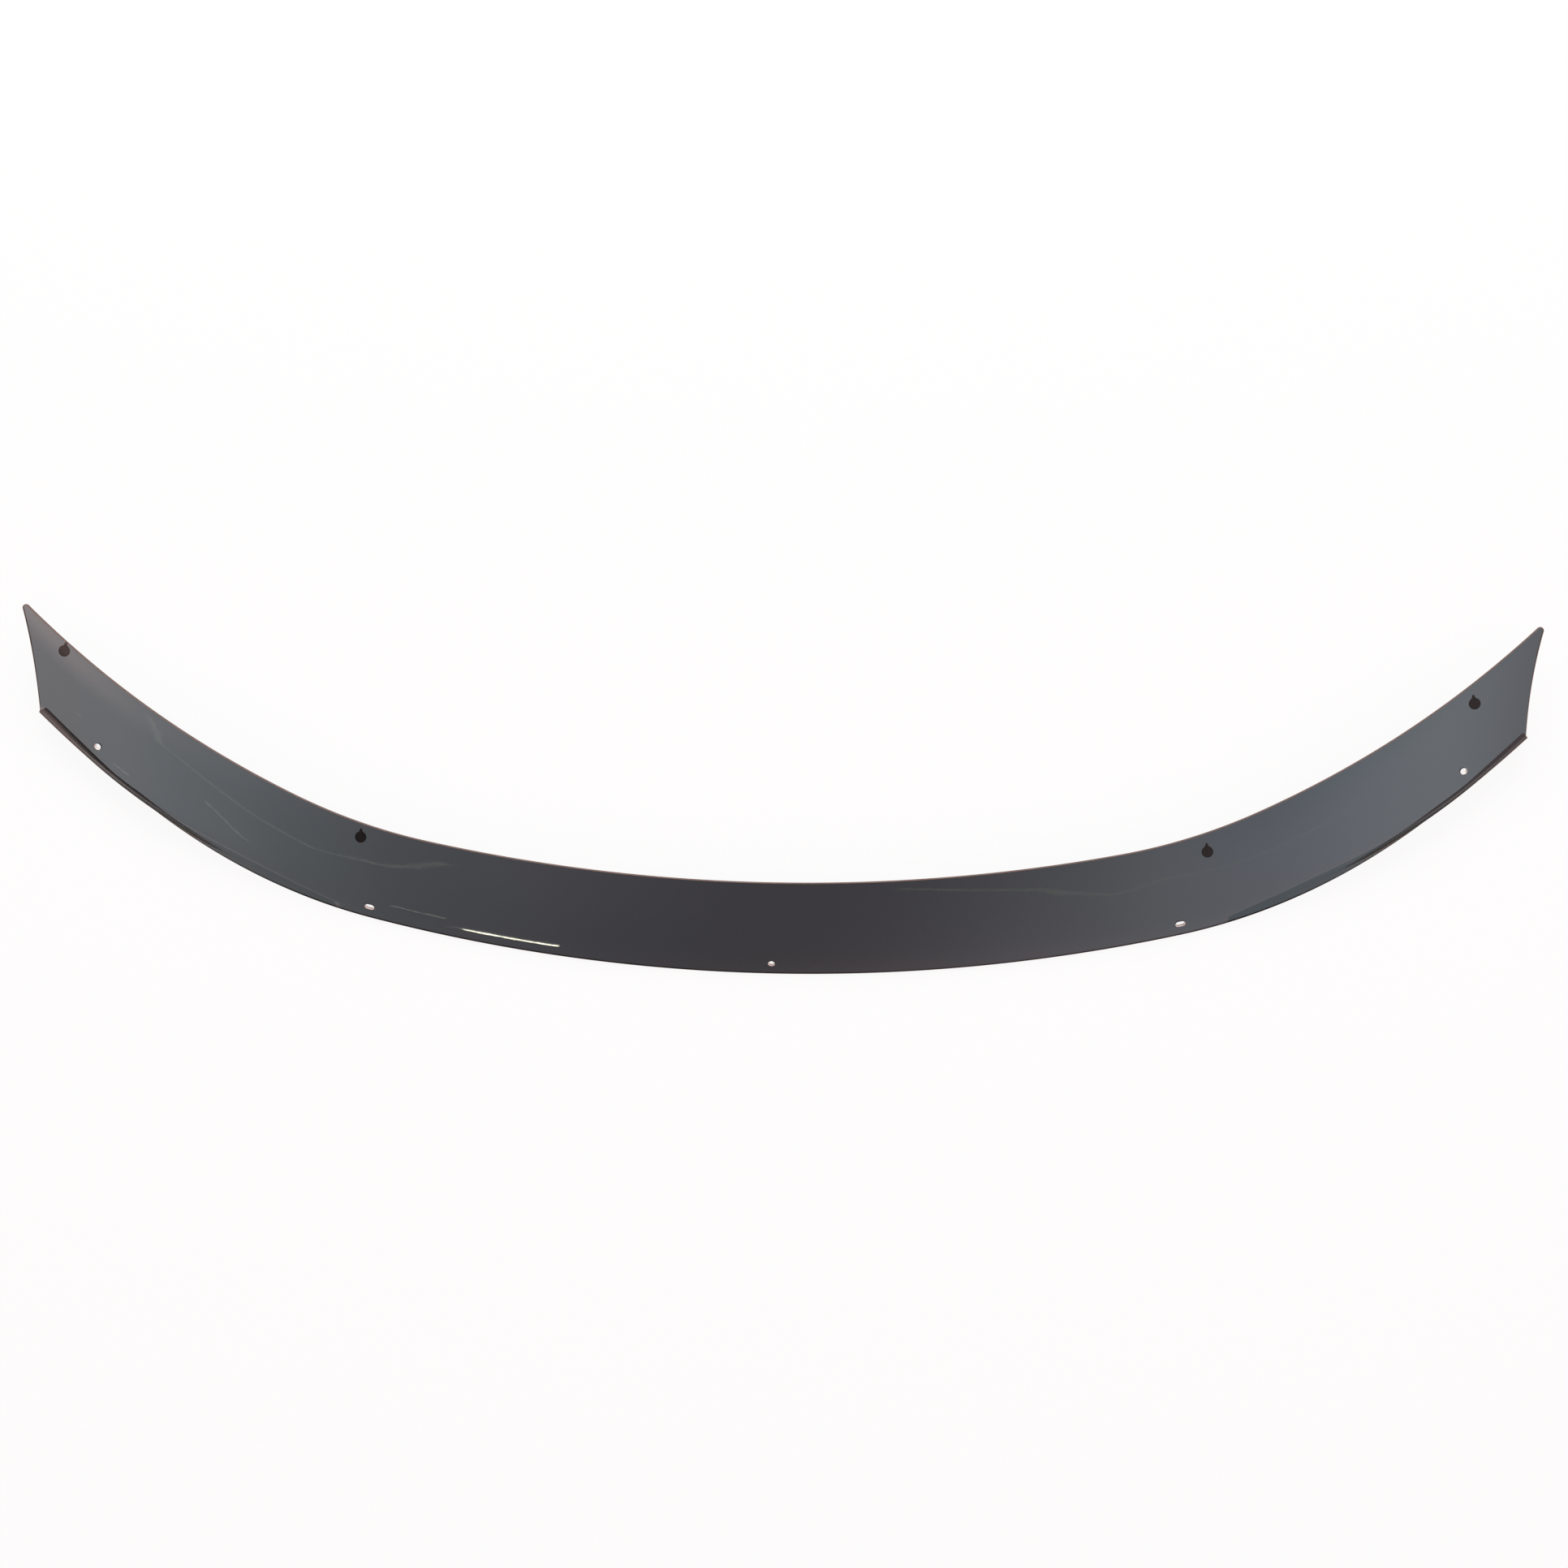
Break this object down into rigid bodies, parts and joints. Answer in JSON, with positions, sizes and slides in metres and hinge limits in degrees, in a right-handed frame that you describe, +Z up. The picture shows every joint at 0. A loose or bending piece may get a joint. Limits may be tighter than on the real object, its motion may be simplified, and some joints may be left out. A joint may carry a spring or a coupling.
{
  "type": "hood bug deflector",
  "caption": "Smoke-tinted acrylic shield for a hood's front edge: a shallow curved band with a rolled front flange, screw holes and pointed ends.",
  "frame": {"origin": "on the plane that the flange's edge rests on, under the middle of the outline", "axes": "+X across the vehicle, to the right as seen in the picture; -Y to the vehicle's front; +Z up"},
  "size_m": [1.4508, 0.3594, 0.0395],
  "materials": {
    "smoke_acrylic": "thermoformed sheet, glossy and see-through with a dark smoke tint",
    "mark_vinyl": "thin matt black vinyl"
  },
  "bodies": {
    "root": {"deflector_shield": "smoke_acrylic", "bumper_mark_left_outer": "mark_vinyl", "bumper_mark_left_inner": "mark_vinyl", "bumper_mark_right_inner": "mark_vinyl", "bumper_mark_right_outer": "mark_vinyl"}
  },
  "joints": []
}
